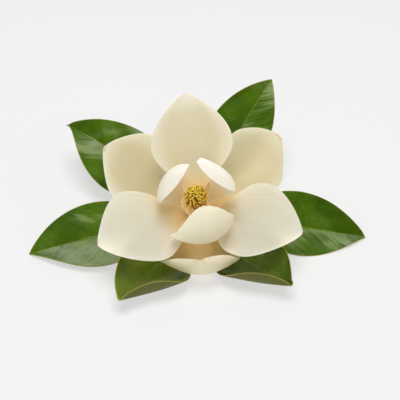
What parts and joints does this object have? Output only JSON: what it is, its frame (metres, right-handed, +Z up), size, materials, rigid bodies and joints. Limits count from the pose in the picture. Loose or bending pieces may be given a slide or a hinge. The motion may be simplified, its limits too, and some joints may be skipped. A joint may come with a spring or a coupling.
{
  "type": "cut magnolia bloom with leaves",
  "caption": "Cut bloom of an evergreen broadleaf magnolia, with broad cupped tepals round a cone of carpels, lying on a level surface among its own glossy oval leaves.",
  "frame": {"origin": "middle of the outline in plan, on the level surface that the bloom lies on", "axes": "+X to the viewer's right with the flower facing -Y, +Y away behind the flower, +Z up"},
  "size_m": [0.333, 0.2758, 0.1322],
  "materials": {
    "tepal_outer": "matte waxy cream plant tissue",
    "tepal_middle": "matte waxy cream plant tissue",
    "tepal_inner": "matte waxy ivory plant tissue",
    "leaf": "glossy leathery dark green leaf",
    "stalk": "young green-brown bark",
    "stamens": "matte tan granular anthers",
    "carpels": "matte yellow-green curled styles"
  },
  "bodies": {
    "root": {"tepal_outer_left": "tepal_outer", "tepal_outer_right": "tepal_outer", "tepal_outer_front": "tepal_outer", "tepal_middle_back": "tepal_middle", "tepal_middle_left": "tepal_middle", "tepal_middle_right": "tepal_middle", "tepal_inner_left": "tepal_inner", "tepal_inner_right": "tepal_inner", "tepal_inner_front": "tepal_inner", "leaf_back_left": "leaf", "leaf_back_right": "leaf", "leaf_left": "leaf", "leaf_right": "leaf", "leaf_front_left": "leaf", "leaf_front_right": "leaf", "flower_stalk": "stalk", "stamens": "stamens", "carpels": "carpels"}
  },
  "joints": []
}
